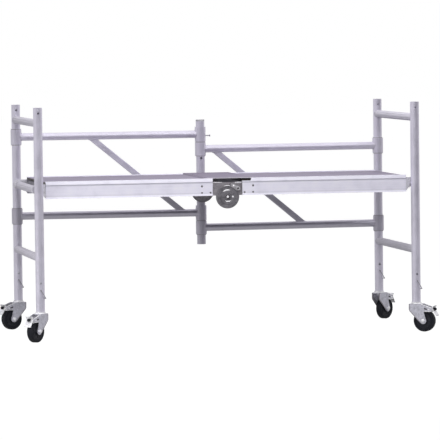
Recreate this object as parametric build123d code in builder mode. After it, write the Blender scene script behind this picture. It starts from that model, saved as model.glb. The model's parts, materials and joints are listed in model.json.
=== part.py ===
from build123d import *
from math import cos, hypot, radians, sin
import os

os.makedirs("parts", exist_ok=True)

# Folding aluminium work platform on braked casters, in millimetres.
# Two ladder frames, a gate of two leaves that folds at the back, and a deck that breaks at its middle.
# X runs along the deck, +Y points to the gate, +Z is up, and the origin is on the floor mid-way.

# End frames
BAY = 1720.0  # left post axis to right post axis
DEPTH = 740.0  # front post axis to rear post axis
POST_TOP = 1042.0
POST_D = 40.0
POST_WALL = 2.0
TOP_RUNG_DROP = 70.0  # axis of the top rung below the post tops
RUNG_PITCH = 300.0
RUNG_COUNT = 3
RUNG_D = 35.0
RUNG_WALL = 2.5
FLUTES = 8
FLUTE_W = 6.0
FLUTE_DEPTH = 1.5
TOP_HOLE_D = 9.0  # cross hole for the pin of a frame plugged in above
TOP_HOLE_DROP = 25.0

# Caster stems in the post feet, with their wire bails
STEM_D = 32.0
STEM_LENGTH = 116.0  # how far the stem reaches up into the post, short of the spare hole
BAIL_HEIGHT = 96.0  # bail pin axis above the post foot
SPARE_HOLE_RISE = 30.0  # empty hole above the bail pin, for a longer stem
SPARE_HOLE_D = 8.0
BAIL_PIN_D = 7.0
BAIL_PIN_REACH = 6.0  # pin end beyond the post face
BAIL_WIRE_D = 4.0
BAIL_WIRE_SIDES = 8
BAIL_DROP = 37.0  # crossbar below the pin at rest
BAIL_BEND = 9.0

# Folding gate
TOP_RAIL_DROP = 80.0  # the left leaf's top rail below the top rung
RAIL_SPREAD = 367.0  # top rail axis to bottom rail axis
NEST = 69.0  # the right leaf's rails run this much lower than the left leaf's
RAIL_D = 35.0
RAIL_WALL = 2.0
SLEEVE_D = 50.0
SLEEVE_WALL = 2.0
SLEEVE_LENGTH = 76.0  # on the rear posts, over the bush ends
SLEEVE_GAP = 1.0  # between the stacked sleeves of the centre post
BUSH_END = 3.0  # bush beyond its sleeve
CENTRE_RISE = 60.0  # centre post above the left leaf's top rail
CENTRE_REACH = 78.0  # centre post below the right leaf's bottom rail
CAP_RISE = 8.0
CAP_PLUG = 16.0
CATCH_HOLE_D = 10.0  # below the right leaf's upper sleeve
CATCH_HOLE_DROP = 9.0
LOCK_PIN_D = 5.0
LOCK_PIN_REACH = 22.0  # beyond the sleeve
LOCK_PIN_DROP = 7.0  # below the top rail's axis
LOCK_KNOB_D = 9.0
LOCK_KNOB_LENGTH = 5.0
DIAGONAL_W = 27.0
DIAGONAL_THICK = 12.0
DIAGONAL_WALL = 2.0
DIAGONAL_EDGE = 3.0  # corner radius
DIAGONAL_START = {"left": 339.0, "right": 58.0}  # upper end along each leaf
DIAGONAL_RUN = 444.0

# Deck
DECK_FRONT_GAP = 27.0  # deck's front side to the line of the front posts
DECK_REAR_GAP = 85.0  # deck's rear side to the line of the rear posts, room for the gate's centre post
DECK_RISE = 39.0  # top of the side rails above the middle rung's axis
SIDE_RAIL_H = 77.0
DECK_END_GAP = 36.0  # rail end to rung axis
HINGE_GAP = 136.0  # between the two halves
WEB = 3.0
WEB_SETBACK = 1.5
GROOVE = 4.0  # open height of the groove under the top lip
GROOVE_DEPTH = 6.0
BOTTOM_LIP = 12.0
FLANGE_W = 24.0
FLANGE = 3.0
LIP_W = 22.0
RIBS = 7
RIB_PITCH = 6.0
RIB_W = 2.4
RIB_RISE = 0.8
PANEL = 10.0
BEAM_W = 30.0
BEAM_H = 50.0
BEAM_WALL = 2.0
FLAP = 3.0
FLAP_FIXED = 25.0  # overlap on the left half
FLAP_LAP = 55.0  # overlap on the right half
FLAP_INSET = 2.0
NOTCH_LENGTH = 37.0  # top lip cut away under the flap
NOTCH_DEPTH = 12.0

# Claws over the middle rungs
CLAW_W = 20.0
CLAW_THICK = 9.0
CLAW_GRIP = 10.0  # how far the nose reaches below the rung axis
CLAW_ROOT = 55.0  # length inside the side rail
CLAW_MARGIN = 2.0  # to the rail's flanges

# Deck hinges, front and rear
PIVOT_DROP = 44.0  # below the middle rung's axis
EYE_R = 46.0
DISC_R = 53.0
DISC_PLATE = 5.0
RINGS = (47.5, 25.0)  # radii of the pressed rings
RING_W = 7.0
RING_CREST = 3.0
RING_RISE = 2.5
HINGE_PLATE = 5.0
HINGE_LEG = 75.0  # length inside the side rail
HINGE_MARGIN = 2.0  # leg to the walls of the rail
HINGE_NECK_DROP = 18.0  # plate's upper edge between the halves, below the deck's top
HINGE_LAP = 10.0  # plate past the pivot line
HINGE_SETBACK = 6.0  # left plate behind the deck's side
HINGE_STACK_GAP = 1.0
HINGE_PIN_D = 16.0
HINGE_HEAD_D = 24.0
HINGE_HEAD = 3.5
LEVER = 4.5
LEVER_PIVOT = (46.0, 38.0)  # from the hinge pivot
LEVER_HUB_R = 11.0
LEVER_TIP = (20.0, 52.0)
LEVER_TIP_R = 8.0
LEVER_PIN_D = 8.0
TOOTH_D = 6.0
TOOTH_ANGLE = 62.0

# Casters
CASTER_HEIGHT = 135.0  # floor to post foot
WHEEL_D = 100.0
WHEEL_W = 30.0
TRAIL = 40.0
TYRE = 15.0  # rubber thickness
TREAD_EDGE = 5.0
HUB_W = 22.0
HUB_BOSS_D = 28.0
AXLE_D = 12.0
AXLE_HEAD_D = 19.0
AXLE_HEAD = 5.0
FORK_PLATE = 3.0
FORK_CLEAR = 4.0  # wheel side to fork leg
FORK_EYE_R = 15.0
FORK_NOSE = 27.0  # leg ahead of the swivel axis
FORK_NOSE_H = 28.0
FORK_HEEL = (43.0, 92.0)  # inner corner of leg and arm, behind the swivel axis and above the floor
FORK_ARM = 80.0  # arm's end behind the swivel axis
ARM_TOP = 109.0
ARM_H = 17.0  # at the arm's end
FORK_TOP = 126.0
CROWN = 4.0
CROWN_TAIL = 30.0
RACE_D = 44.0
RACE_TOP = 131.0
KING_PIN_D = 18.0
KING_HEAD_D = 28.0
KING_HEAD = 3.7
COLLAR_D = 44.0
PEDAL_PIVOT = (68.0, 102.0)  # behind the swivel axis, above the floor
PEDAL_PIN_D = 8.0
PEDAL_BOSS_D = 12.0
PEDAL_SIDE_GAP = 1.0
PEDAL_PLATE = 4.0
PEDAL_REACH = 34.0
PEDAL_DROP = 30.0  # toe below the pivot
PEDAL_TAB = 17.0  # release tab above the pivot
SHOE_AT = 8.0  # brake shoe behind the pivot
SHOE_W = 8.0
SHOE_GAP = 5.0  # above the tyre at rest

# Clearances
WELD_GAP = 0.05  # coped tube end to the tube it is welded on
RUN_FIT = 0.05  # radial, shaft in hole
LOOSE = 0.3
CLAW_FIT = 0.5  # radial, claw on rung

# Derived places
POST_X = BAY / 2
POST_Y = DEPTH / 2
POST_R = POST_D / 2
POST_BORE_R = POST_R - POST_WALL
POST_FOOT = CASTER_HEIGHT
RUNG_R = RUNG_D / 2
TOP_RUNG = POST_TOP - TOP_RUNG_DROP
RUNG_HEIGHTS = [TOP_RUNG - RUNG_PITCH * i for i in range(RUNG_COUNT)]
MID_RUNG = RUNG_HEIGHTS[RUNG_COUNT // 2]
STEM_R = STEM_D / 2
STEM_TOP = POST_FOOT + STEM_LENGTH
BAIL_PIN_Z = POST_FOOT + BAIL_HEIGHT
SPARE_HOLE_Z = BAIL_PIN_Z + SPARE_HOLE_RISE
SLEEVE_R = SLEEVE_D / 2
SLEEVE_BORE_R = SLEEVE_R - SLEEVE_WALL
STACK_LENGTH = NEST - SLEEVE_GAP
RAIL_R = RAIL_D / 2
LEFT_TOP_RAIL = TOP_RUNG - TOP_RAIL_DROP
CENTRE_TOP = LEFT_TOP_RAIL + CENTRE_RISE
CENTRE_FOOT = LEFT_TOP_RAIL - NEST - RAIL_SPREAD - CENTRE_REACH
DECK_W = DEPTH - DECK_FRONT_GAP - DECK_REAR_GAP
DECK_SIDE = DECK_W / 2  # from the deck's middle line
DECK_Y = (DECK_FRONT_GAP - DECK_REAR_GAP) / 2  # the deck's middle line
DECK_TOP = MID_RUNG + DECK_RISE
DECK_BOTTOM = DECK_TOP - SIDE_RAIL_H
DECK_END = POST_X - DECK_END_GAP
HALF_GAP = HINGE_GAP / 2
WEB_BACK = WEB_SETBACK + WEB
PANEL_TOP = SIDE_RAIL_H - FLANGE  # above the rail's bottom
LEDGE_TOP = PANEL_TOP - PANEL
LEDGE_LOW = LEDGE_TOP - FLANGE
GROOVE_LOW = LEDGE_LOW - GROOVE
GROOVE_BACK = GROOVE_DEPTH + WEB
ROOM_LOW = DECK_BOTTOM + FLANGE  # room inside a side rail, between flange and groove
ROOM_HIGH = DECK_BOTTOM + GROOVE_LOW - WEB
PIVOT_HEIGHT = MID_RUNG - PIVOT_DROP
HINGE_MIDDLE = HINGE_SETBACK + HINGE_PLATE
HINGE_BACK = HINGE_MIDDLE + HINGE_STACK_GAP + HINGE_PLATE
WHEEL_R = WHEEL_D / 2
FORK_INNER = WHEEL_W / 2 + FORK_CLEAR
FORK_OUTER = FORK_INNER + FORK_PLATE

# The centre post stands as far inside the line of the rear posts as the deck's pivot lies below the
# middle rungs, so deck and gate fold through the same angle.
SET = PIVOT_DROP

# The two gate leaves: name, start and end in plan, top rail height
LEAF_ENDS = {
    "left": (Vector(-POST_X, POST_Y, 0), Vector(0, POST_Y - SET, 0)),
    "right": (Vector(0, POST_Y - SET, 0), Vector(POST_X, POST_Y, 0)),
}
LEAF_TOPS = {"left": LEFT_TOP_RAIL, "right": LEFT_TOP_RAIL - NEST}
LEAF = hypot(POST_X, SET)
CENTRE_X, CENTRE_Y = 0.0, POST_Y - SET

# The four corners: name, post place, direction in which the caster trails
CORNERS = {
    "left_rear": (-POST_X, POST_Y, 206.0),
    "left_front": (-POST_X, -POST_Y, 227.0),
    "right_rear": (POST_X, POST_Y, 40.0),
    "right_front": (POST_X, -POST_Y, -35.0),
}
SIDES = {"left": -1, "right": 1}
FACES = {"front": -1, "rear": 1}


def save(piece, name):
    """Labels a finished piece and writes it as its own file."""
    piece.part.label = name
    export_step(piece.part, f"parts/{name}.step")


def level(x, y, z):
    """Horizontal plane at a point."""
    return Plane(origin=(x, y, z))


def upright(y, x=0.0, z=0.0):
    """Plane across the depth: sketch x is X, sketch y is Z, and extruding goes to the front."""
    return Plane(origin=(x, y, z), x_dir=(1, 0, 0), z_dir=(0, -1, 0))


def deck_upright(y, x=0.0, z=0.0):
    """Plane across the depth, at a distance behind the deck's middle line."""
    return upright(DECK_Y + y, x, z)


def bar(plane, radius, length, mode=Mode.ADD):
    """Round bar from a plane along its normal, into the part being built."""
    with BuildSketch(plane) as disc:
        Circle(radius)
    extrude(disc.sketch, amount=length, mode=mode)


def post(x, y):
    """Upright tube, open at the top, with a guide for the caster stem at its foot and cross holes."""
    with BuildPart() as tube:
        bar(level(x, y, POST_FOOT), POST_R, POST_TOP - POST_FOOT)
        bar(level(x, y, STEM_TOP), POST_BORE_R, POST_TOP - STEM_TOP, Mode.SUBTRACT)
        bar(level(x, y, POST_FOOT), STEM_R + RUN_FIT, STEM_LENGTH, Mode.SUBTRACT)
        bar(upright(y + POST_R, x, POST_TOP - TOP_HOLE_DROP), TOP_HOLE_D / 2, POST_D, Mode.SUBTRACT)
        bar(upright(y + POST_R, x, SPARE_HOLE_Z), SPARE_HOLE_D / 2, POST_D, Mode.SUBTRACT)
        bar(upright(y + POST_R, x, BAIL_PIN_Z), BAIL_PIN_D / 2 + RUN_FIT, POST_D, Mode.SUBTRACT)
    return tube


def rungs(x):
    """Fluted rungs of one frame, coped to the posts at both ends."""
    starts = [upright(POST_Y, x, z) for z in RUNG_HEIGHTS]
    with BuildPart() as group:
        with BuildSketch(*starts):
            Circle(RUNG_R)
            with PolarLocations(RUNG_R, FLUTES, start_angle=180 / FLUTES):
                Polygon(
                    (-FLUTE_DEPTH, 0),
                    (FLUTE_DEPTH, -FLUTE_W),
                    (FLUTE_DEPTH, FLUTE_W),
                    align=None,
                    mode=Mode.SUBTRACT,
                )
            Circle(RUNG_R - RUNG_WALL, mode=Mode.SUBTRACT)
        extrude(amount=DEPTH)
        for y in (-POST_Y, POST_Y):
            bar(level(x, y, 0), POST_R + WELD_GAP, POST_TOP, Mode.SUBTRACT)
    return group


def caster_stems(x):
    """Turned stems of one frame: king pin with riveted head, collar and the plug in the post."""
    race_gap = RACE_TOP + LOOSE
    head_top = FORK_TOP - CROWN - LOOSE
    with BuildPart() as group:
        for y in (-POST_Y, POST_Y):
            bar(level(x, y, head_top - KING_HEAD), KING_HEAD_D / 2, KING_HEAD)
            bar(level(x, y, head_top - KING_HEAD), KING_PIN_D / 2, race_gap - head_top + KING_HEAD)
            bar(level(x, y, race_gap), COLLAR_D / 2, POST_FOOT - race_gap)
            bar(level(x, y, race_gap), STEM_R, STEM_TOP - race_gap)
            bar(upright(y + POST_R, x, BAIL_PIN_Z), BAIL_PIN_D / 2 + RUN_FIT, POST_D, Mode.SUBTRACT)
    return group


def bail(x, y):
    """Pin through post and stem, one piece with the wire bail that lies against the post."""
    half = POST_R + BAIL_PIN_REACH
    side = POST_R + LOOSE + BAIL_WIRE_D / 2
    leg = hypot(side, BAIL_DROP)
    slope = Plane(origin=(x, y, BAIL_PIN_Z), x_dir=(0, 1, 0), z_dir=(-BAIL_DROP, 0, -side))
    with BuildPart() as wire:
        with BuildLine(slope):
            Polyline(
                (-half, 0),
                (-half, leg - BAIL_BEND),
                (BAIL_BEND - half, leg),
                (half - BAIL_BEND, leg),
                (half, leg - BAIL_BEND),
                (half, 0),
            )
        with BuildSketch(Plane(origin=(x, y - half, BAIL_PIN_Z), z_dir=(side, 0, -BAIL_DROP))):
            RegularPolygon(BAIL_WIRE_D / 2, BAIL_WIRE_SIDES)
        sweep(transition=Transition.RIGHT)
        reach = half + BAIL_WIRE_D
        bar(upright(y + reach, x, BAIL_PIN_Z), BAIL_PIN_D / 2, 2 * reach)
    return wire


def leaf_plane(side, z, along=0.0):
    """Plane across a gate leaf, looking along it, at a height and a distance from its start."""
    start, end = LEAF_ENDS[side]
    direction = (end - start).normalized()
    point = start + direction * along
    return Plane(origin=(point.X, point.Y, z), z_dir=direction)


def rail_heights(side):
    """Axis heights of a leaf's top and bottom rail."""
    return (LEAF_TOPS[side], LEAF_TOPS[side] - RAIL_SPREAD)


def gate_rails(side):
    """Top and bottom rail of one leaf, coped to the sleeves at both ends."""
    with BuildPart() as group:
        with BuildSketch(*[leaf_plane(side, z) for z in rail_heights(side)]):
            Circle(RAIL_R)
            Circle(RAIL_R - RAIL_WALL, mode=Mode.SUBTRACT)
        extrude(amount=LEAF)
        for place in LEAF_ENDS[side]:
            bar(level(place.X, place.Y, 0), SLEEVE_R + WELD_GAP, POST_TOP, Mode.SUBTRACT)
    return group


def diagonal(side):
    """Flat brace tube of one leaf, cut to the rails it is welded to."""
    top, bottom = rail_heights(side)
    high = leaf_plane(side, top, DIAGONAL_START[side])
    low = leaf_plane(side, bottom, DIAGONAL_START[side] + DIAGONAL_RUN)
    run = low.origin - high.origin
    across = run.cross(high.z_dir)
    inner_w = DIAGONAL_W - 2 * DIAGONAL_WALL
    inner_thick = DIAGONAL_THICK - 2 * DIAGONAL_WALL
    with BuildPart() as brace:
        with BuildSketch(Plane(origin=high.origin, x_dir=across, z_dir=run)):
            RectangleRounded(DIAGONAL_THICK, DIAGONAL_W, DIAGONAL_EDGE)
            Rectangle(inner_thick, inner_w, mode=Mode.SUBTRACT)
        extrude(amount=run.length)
        for z in (top, bottom):
            bar(leaf_plane(side, z), RAIL_R + WELD_GAP, LEAF, Mode.SUBTRACT)
    return brace


def ring(x, y, z, outer, inner, length):
    """Tube on a vertical axis, centred on a height."""
    bar(level(x, y, z - length / 2), outer, length)
    bar(level(x, y, z - length / 2), inner, length, Mode.SUBTRACT)


def turning_places(side):
    """Where a leaf's sleeves turn on a post: place, height and length over the bush ends."""
    start, end = LEAF_ENDS[side]
    if side == "left":
        return [(start.X, start.Y, z, SLEEVE_LENGTH) for z in rail_heights(side)]
    on_centre = [(start.X, start.Y, z, STACK_LENGTH) for z in rail_heights(side)]
    return on_centre + [(end.X, end.Y, z, SLEEVE_LENGTH) for z in rail_heights(side)]


def gate_sleeves(side):
    """Sleeves at both ends of a leaf. The left leaf's inner pair is welded on the centre post."""
    with BuildPart() as group:
        for x, y, z, length in turning_places(side):
            ring(x, y, z, SLEEVE_R, SLEEVE_BORE_R, length - 2 * BUSH_END)
        if side == "left":
            for z in rail_heights(side):
                ring(CENTRE_X, CENTRE_Y, z, SLEEVE_R, POST_R + WELD_GAP, STACK_LENGTH)
            pin = leaf_plane(side, LEFT_TOP_RAIL - LOCK_PIN_DROP, LEAF)
            bar(pin, LOCK_PIN_D / 2 + RUN_FIT, SLEEVE_D, Mode.SUBTRACT)
    return group


def gate_bushes(side):
    """Nylon bushes pushed through the turning sleeves, standing out at both ends."""
    with BuildPart() as group:
        for x, y, z, length in turning_places(side):
            ring(x, y, z, SLEEVE_BORE_R - WELD_GAP, POST_R + RUN_FIT, length)
    return group


def centre_post():
    """Middle post of the gate, with the lock pin's hole and the catch hole under the right leaf's sleeve."""
    catch_z = LEAF_TOPS["right"] - STACK_LENGTH / 2 - CATCH_HOLE_DROP
    with BuildPart() as tube:
        bar(level(CENTRE_X, CENTRE_Y, CENTRE_FOOT), POST_R, CENTRE_TOP - CENTRE_FOOT)
        bar(level(CENTRE_X, CENTRE_Y, CENTRE_FOOT), POST_BORE_R, CENTRE_TOP - CENTRE_FOOT, Mode.SUBTRACT)
        pin = leaf_plane("left", LEFT_TOP_RAIL - LOCK_PIN_DROP, LEAF)
        bar(pin, LOCK_PIN_D / 2 + RUN_FIT, POST_D, Mode.SUBTRACT)
        bar(upright(CENTRE_Y, CENTRE_X, catch_z), CATCH_HOLE_D / 2, POST_D, Mode.SUBTRACT)
    return tube


def centre_cap():
    """Moulded plug that closes the top of the centre post."""
    with BuildPart() as cap:
        bar(level(CENTRE_X, CENTRE_Y, CENTRE_TOP), POST_R, CAP_RISE)
        bar(level(CENTRE_X, CENTRE_Y, CENTRE_TOP), POST_BORE_R - WELD_GAP, -CAP_PLUG)
    return cap


def lock_pin():
    """Pull pin through the left leaf's upper inner sleeve into the centre post."""
    pin_z = LEFT_TOP_RAIL - LOCK_PIN_DROP
    inner_end = POST_BORE_R - 2 * POST_WALL
    outer_end = SLEEVE_R + LOCK_PIN_REACH
    with BuildPart() as pin:
        bar(leaf_plane("left", pin_z, LEAF + inner_end), LOCK_PIN_D / 2, outer_end - inner_end)
        bar(leaf_plane("left", pin_z, LEAF + outer_end - LOCK_KNOB_LENGTH), LOCK_KNOB_D / 2, LOCK_KNOB_LENGTH)
    return pin


def half_span(side):
    """Lowest X and length of a deck half."""
    low = -DECK_END if side < 0 else HALF_GAP
    return low, DECK_END - HALF_GAP


def strip(face, near, far, low, high):
    """Rectangle of the side rail's section: depths from the deck's side, heights from its bottom."""
    with Locations((face * (DECK_SIDE - (near + far) / 2), (low + high) / 2)):
        Rectangle(far - near, high - low)


def side_rail(side, face):
    """Extruded side rail of a deck half: lips, groove, ribbed web, ledge for the panel and bottom flange."""
    start, length = half_span(side)
    groove_floor = GROOVE_LOW - WEB
    middle = (BOTTOM_LIP + GROOVE_LOW) / 2
    with BuildPart() as rail:
        with BuildSketch(Plane(origin=(start, DECK_Y, DECK_BOTTOM), x_dir=(0, 1, 0), z_dir=(1, 0, 0))):
            strip(face, 0, FLANGE_W, 0, FLANGE)
            strip(face, 0, WEB_BACK, 0, BOTTOM_LIP)
            strip(face, WEB_SETBACK, WEB_BACK, 0, GROOVE_LOW)
            strip(face, WEB_SETBACK, GROOVE_BACK, groove_floor, GROOVE_LOW)
            strip(face, GROOVE_DEPTH, GROOVE_BACK, groove_floor, LEDGE_TOP)
            strip(face, 0, FLANGE_W, LEDGE_LOW, LEDGE_TOP)
            strip(face, 0, WEB_BACK, LEDGE_LOW, SIDE_RAIL_H)
            strip(face, 0, LIP_W, PANEL_TOP, SIDE_RAIL_H)
            for i in range(RIBS):
                rib = middle + (i - (RIBS - 1) / 2) * RIB_PITCH
                strip(face, WEB_SETBACK - RIB_RISE, WEB_BACK, rib - RIB_W / 2, rib + RIB_W / 2)
        extrude(amount=length)
        if side > 0:
            with BuildSketch(deck_upright(face * DECK_SIDE + DECK_SIDE, HALF_GAP, DECK_TOP)):
                Polygon(
                    (0, 0),
                    (NOTCH_LENGTH + NOTCH_DEPTH / 2, 0),
                    (NOTCH_LENGTH, -NOTCH_DEPTH),
                    (0, -NOTCH_DEPTH),
                    align=None,
                )
            extrude(amount=DECK_W, mode=Mode.SUBTRACT)
    return rail


def deck_panel(side):
    """Plywood panel of a deck half, held in the slots of both side rails."""
    start, length = half_span(side)
    width = DECK_W - 2 * (WEB_BACK + LOOSE)
    with BuildPart() as panel:
        with BuildSketch(level(start + length / 2, DECK_Y, DECK_BOTTOM + LEDGE_TOP)):
            Rectangle(length, width)
        extrude(amount=PANEL)
        if side > 0:
            with BuildSketch(level(HALF_GAP, DECK_Y, DECK_BOTTOM + LEDGE_TOP)):
                for face in FACES.values():
                    with Locations((0, face * (DECK_SIDE - LIP_W / 2))):
                        Rectangle(2 * (NOTCH_LENGTH + NOTCH_DEPTH / 2), LIP_W)
            extrude(amount=PANEL, mode=Mode.SUBTRACT)
    return panel


def deck_beams(side):
    """Cross tubes under a deck half: between the claws, in the middle and between the hinge plates."""
    hinge_depth = HINGE_MIDDLE if side < 0 else HINGE_BACK
    beams = (
        (DECK_END - BEAM_W / 2, WEB_BACK + CLAW_W),
        ((DECK_END + HALF_GAP) / 2, GROOVE_BACK),
        (HALF_GAP + BEAM_W / 2, hinge_depth),
    )
    top = DECK_BOTTOM + LEDGE_LOW
    with BuildPart() as group:
        for x, depth in beams:
            reach = DECK_SIDE - depth
            with BuildSketch(deck_upright(reach, side * x, top - BEAM_H / 2)):
                Rectangle(BEAM_W, BEAM_H)
                Rectangle(BEAM_W - 2 * BEAM_WALL, BEAM_H - 2 * BEAM_WALL, mode=Mode.SUBTRACT)
            extrude(amount=2 * reach)
    return group


def claws(side):
    """Cast claws of a deck half: a root inside the side rail and a hook over the middle rung."""
    grip_r = RUNG_R + CLAW_FIT
    root_low = ROOM_LOW + CLAW_MARGIN
    root_high = ROOM_HIGH - CLAW_MARGIN
    hook_top = MID_RUNG + grip_r + CLAW_THICK
    outer = DECK_SIDE - WEB_BACK
    fronts = [deck_upright(outer), deck_upright(CLAW_W - outer)]
    with BuildPart() as group:
        with BuildSketch(*fronts):
            Polygon(
                (side * (DECK_END - CLAW_ROOT), root_low),
                (side * (DECK_END + CLAW_MARGIN), root_low),
                (side * (POST_X - grip_r / 2), MID_RUNG),
                (side * POST_X, hook_top),
                (side * (DECK_END + CLAW_MARGIN), hook_top),
                (side * (DECK_END + CLAW_MARGIN), root_high),
                (side * (DECK_END - CLAW_ROOT), root_high),
                align=None,
            )
            with Locations((side * POST_X, MID_RUNG)):
                Circle(grip_r + CLAW_THICK)
                Circle(grip_r, mode=Mode.SUBTRACT)
            with Locations((side * POST_X, MID_RUNG - grip_r)):
                Rectangle(2 * grip_r, 2 * grip_r, mode=Mode.SUBTRACT)
            with Locations((side * (POST_X + grip_r), MID_RUNG - CLAW_GRIP - grip_r)):
                Rectangle(2 * grip_r + 2 * CLAW_THICK, 2 * grip_r, mode=Mode.SUBTRACT)
        extrude(amount=CLAW_W)
    return group


def hinge_plates(side):
    """Steel hinge plates of a deck half. The right pair carries the pivots of the lock levers."""
    front_depth = HINGE_SETBACK if side < 0 else HINGE_MIDDLE + HINGE_STACK_GAP
    outer = DECK_SIDE - front_depth
    low = ROOM_LOW + HINGE_MARGIN
    high = ROOM_HIGH - HINGE_MARGIN
    neck = DECK_TOP - HINGE_NECK_DROP
    with BuildPart() as group:
        with BuildSketch(deck_upright(outer), deck_upright(HINGE_PLATE - outer)):
            with Locations((0, PIVOT_HEIGHT)):
                Circle(EYE_R)
            Polygon(
                (side * (HALF_GAP + HINGE_LEG), low),
                (side * (HALF_GAP + HINGE_LEG), high),
                (side * (HALF_GAP - HINGE_STACK_GAP), high),
                (side * (HALF_GAP - HINGE_STACK_GAP), neck),
                (-side * HINGE_LAP, neck),
                (-side * HINGE_LAP, DECK_BOTTOM),
                (side * (HALF_GAP - HINGE_STACK_GAP), DECK_BOTTOM),
                (side * (HALF_GAP - HINGE_STACK_GAP), low),
                align=None,
            )
            with Locations((0, PIVOT_HEIGHT)):
                Circle(HINGE_PIN_D / 2 + RUN_FIT, mode=Mode.SUBTRACT)
        extrude(amount=HINGE_PLATE)
        if side > 0:
            lever_x, lever_z = LEVER_PIVOT
            reach = front_depth + LEVER + DISC_PLATE + RING_RISE
            for start in (-outer, DECK_SIDE + reach - front_depth):
                bar(deck_upright(start, lever_x, PIVOT_HEIGHT + lever_z), LEVER_PIN_D / 2, reach)
    return group


def hinge_discs():
    """Pressed lock discs with concentric rings, a tooth notch in the rim and the pivot rivet."""
    back = -HINGE_SETBACK
    plate = DISC_PLATE + back
    with BuildPart() as group:
        for face in FACES.values():
            rim = DECK_Y + face * DECK_SIDE
            section = Plane(origin=(0, rim, PIVOT_HEIGHT), x_dir=(1, 0, 0), z_dir=(0, 0, face))
            with BuildSketch(section):
                with Locations((DISC_R / 2, (back + plate) / 2)):
                    Rectangle(DISC_R, plate - back)
                for radius in RINGS:
                    Polygon(
                        (radius - RING_W / 2, plate),
                        (radius - RING_CREST / 2, plate + RING_RISE),
                        (radius + RING_CREST / 2, plate + RING_RISE),
                        (radius + RING_W / 2, plate),
                        align=None,
                    )
                with Locations((HINGE_HEAD_D / 4, plate + HINGE_HEAD / 2)):
                    Rectangle(HINGE_HEAD_D / 2, HINGE_HEAD)
                with Locations((HINGE_PIN_D / 4, (back - HINGE_BACK - LOOSE) / 2)):
                    Rectangle(HINGE_PIN_D / 2, HINGE_BACK + LOOSE + back)
                with Locations((HINGE_HEAD_D / 4, -HINGE_BACK - LOOSE - HINGE_HEAD / 2)):
                    Rectangle(HINGE_HEAD_D / 2, HINGE_HEAD)
            revolve(axis=Axis((0, 0, PIVOT_HEIGHT), (0, 1, 0)))
        angle = radians(TOOTH_ANGLE)
        notch_x = (DISC_R + RING_RISE) * cos(angle)
        notch_z = (DISC_R + RING_RISE) * sin(angle)
        notch = deck_upright(DECK_W, notch_x, PIVOT_HEIGHT + notch_z)
        bar(notch, TOOTH_D / 2 + LOOSE, 2 * DECK_W, Mode.SUBTRACT)
    return group


def lock_lever(face):
    """Lever in front of a disc: a flat hull between hub and tip, with a tooth at the disc's rim."""
    hub_x, hub_z = LEVER_PIVOT
    tip_x, tip_z = LEVER_TIP
    disc_front = DISC_PLATE - HINGE_SETBACK + RING_RISE + LOOSE
    start = face * (DECK_SIDE + disc_front) if face < 0 else DECK_SIDE + disc_front + LEVER
    angle = radians(TOOTH_ANGLE)
    tooth_r = DISC_R + TOOTH_D / 2 + LOOSE
    tooth = deck_upright(face * DECK_SIDE, tooth_r * cos(angle), PIVOT_HEIGHT + tooth_r * sin(angle))
    with BuildPart() as lever:
        with BuildSketch(deck_upright(start)):
            with Locations((hub_x, PIVOT_HEIGHT + hub_z)):
                Circle(LEVER_HUB_R)
            with Locations((tip_x, PIVOT_HEIGHT + tip_z)):
                Circle(LEVER_TIP_R)
            make_hull()
            with Locations((hub_x, PIVOT_HEIGHT + hub_z)):
                Circle(LEVER_PIN_D / 2 + RUN_FIT, mode=Mode.SUBTRACT)
        extrude(amount=LEVER)
        bar(tooth, TOOTH_D / 2, -face * (disc_front + LEVER / 2))
    return lever


def cover_flap():
    """Plate fixed on the left half that covers the hinge gap and laps over the right half."""
    with BuildPart() as flap:
        with BuildSketch(level((FLAP_LAP - FLAP_FIXED) / 2, DECK_Y, DECK_TOP)):
            Rectangle(FLAP_FIXED + HINGE_GAP + FLAP_LAP, DECK_W - 2 * FLAP_INSET)
        extrude(amount=FLAP)
        chamfer(flap.edges().filter_by(Axis.Y).group_by(Axis.Z)[-1], FLAP / 2)
    return flap


def caster_plane(corner):
    """Floor plane under a post whose x axis is the caster's trailing direction."""
    x, y, trail = CORNERS[corner]
    direction = (cos(radians(trail)), sin(radians(trail)), 0)
    return Plane(origin=(x, y, 0), x_dir=direction, z_dir=(0, 0, 1))


def caster_side(base, across, along=0.0, height=0.0):
    """Plane along a caster: sketch x trails, sketch y is up, at a distance to its left."""
    origin = base.from_local_coords((along, across, height))
    return Plane(origin=origin, x_dir=base.x_dir, z_dir=-base.y_dir)


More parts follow.
